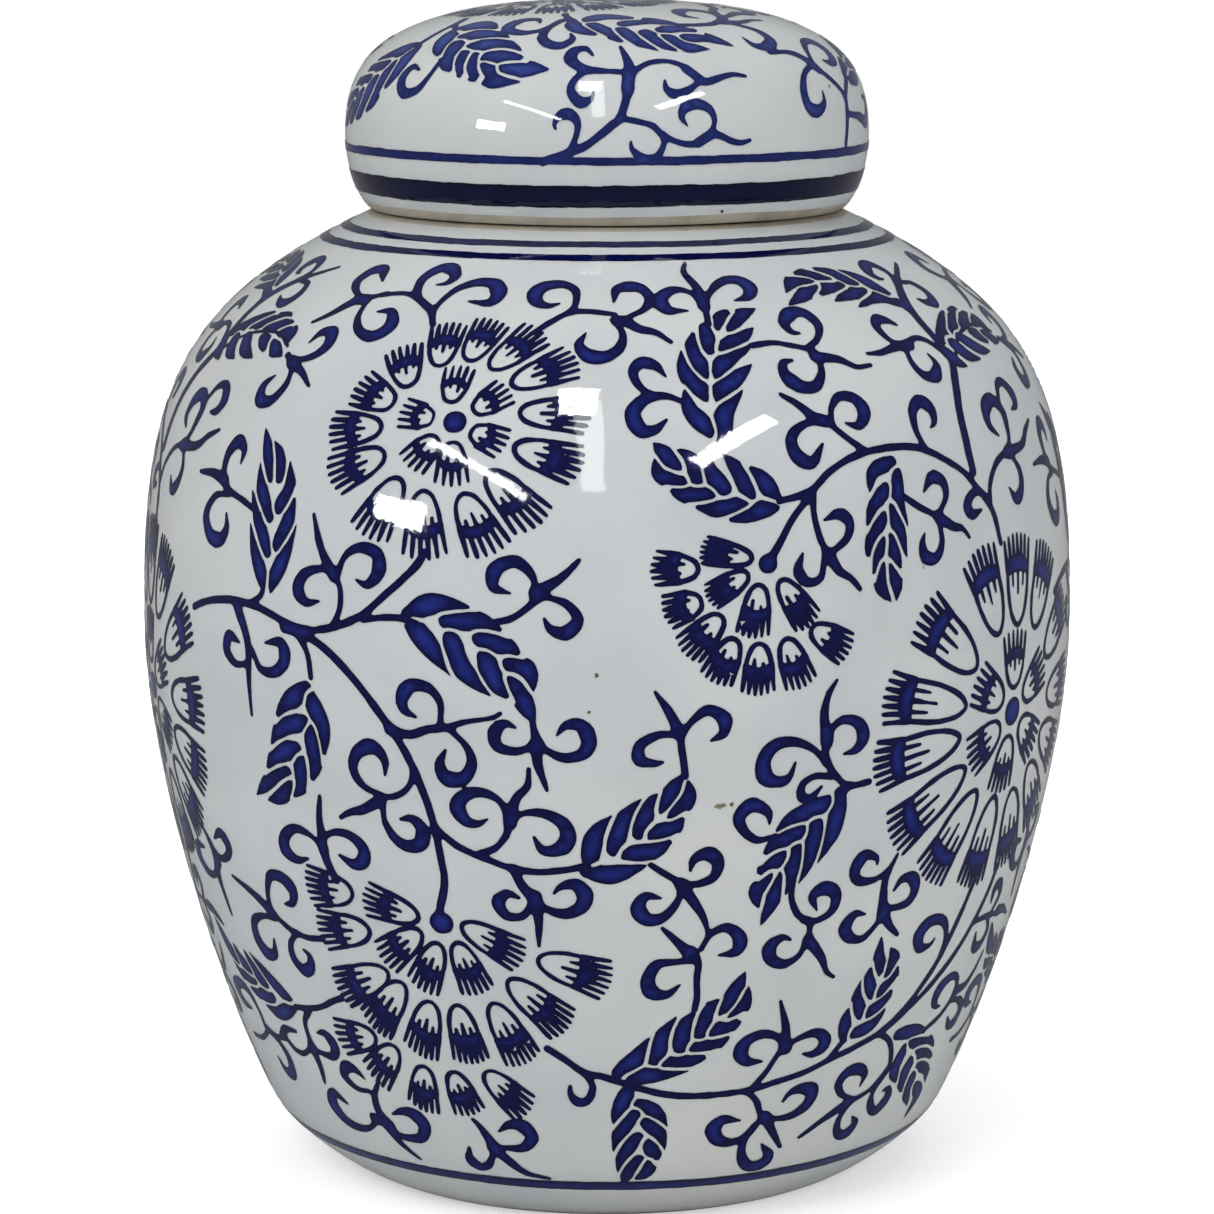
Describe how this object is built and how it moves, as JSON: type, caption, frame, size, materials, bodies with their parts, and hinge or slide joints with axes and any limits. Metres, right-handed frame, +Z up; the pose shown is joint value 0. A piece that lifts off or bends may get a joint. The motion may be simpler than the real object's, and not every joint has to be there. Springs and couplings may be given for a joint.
{
  "type": "ginger jar",
  "caption": "Round-shouldered lidded storage jar in glazed porcelain, with a short hidden neck and a lift-off domed cap.",
  "frame": {"origin": "centre of the foot ring's resting face, on the jar's axis", "axes": "+Z up along the axis of revolution, from the foot to the top of the lid"},
  "size_m": [0.2, 0.2, 0.25],
  "materials": {
    "glaze_body": "gloss",
    "glaze_lid": "gloss",
    "cobalt_painting": "gloss",
    "bare_porcelain": "matte"
  },
  "bodies": {
    "jar": {"jar_body": "glaze_body"},
    "lid": {"lid": "glaze_lid"}
  },
  "joints": [
    {"name": "lid_lift", "type": "slide", "parent": "jar", "child": "lid", "axis": [0, 0, 1], "range_m": [0, 0.12]}
  ]
}
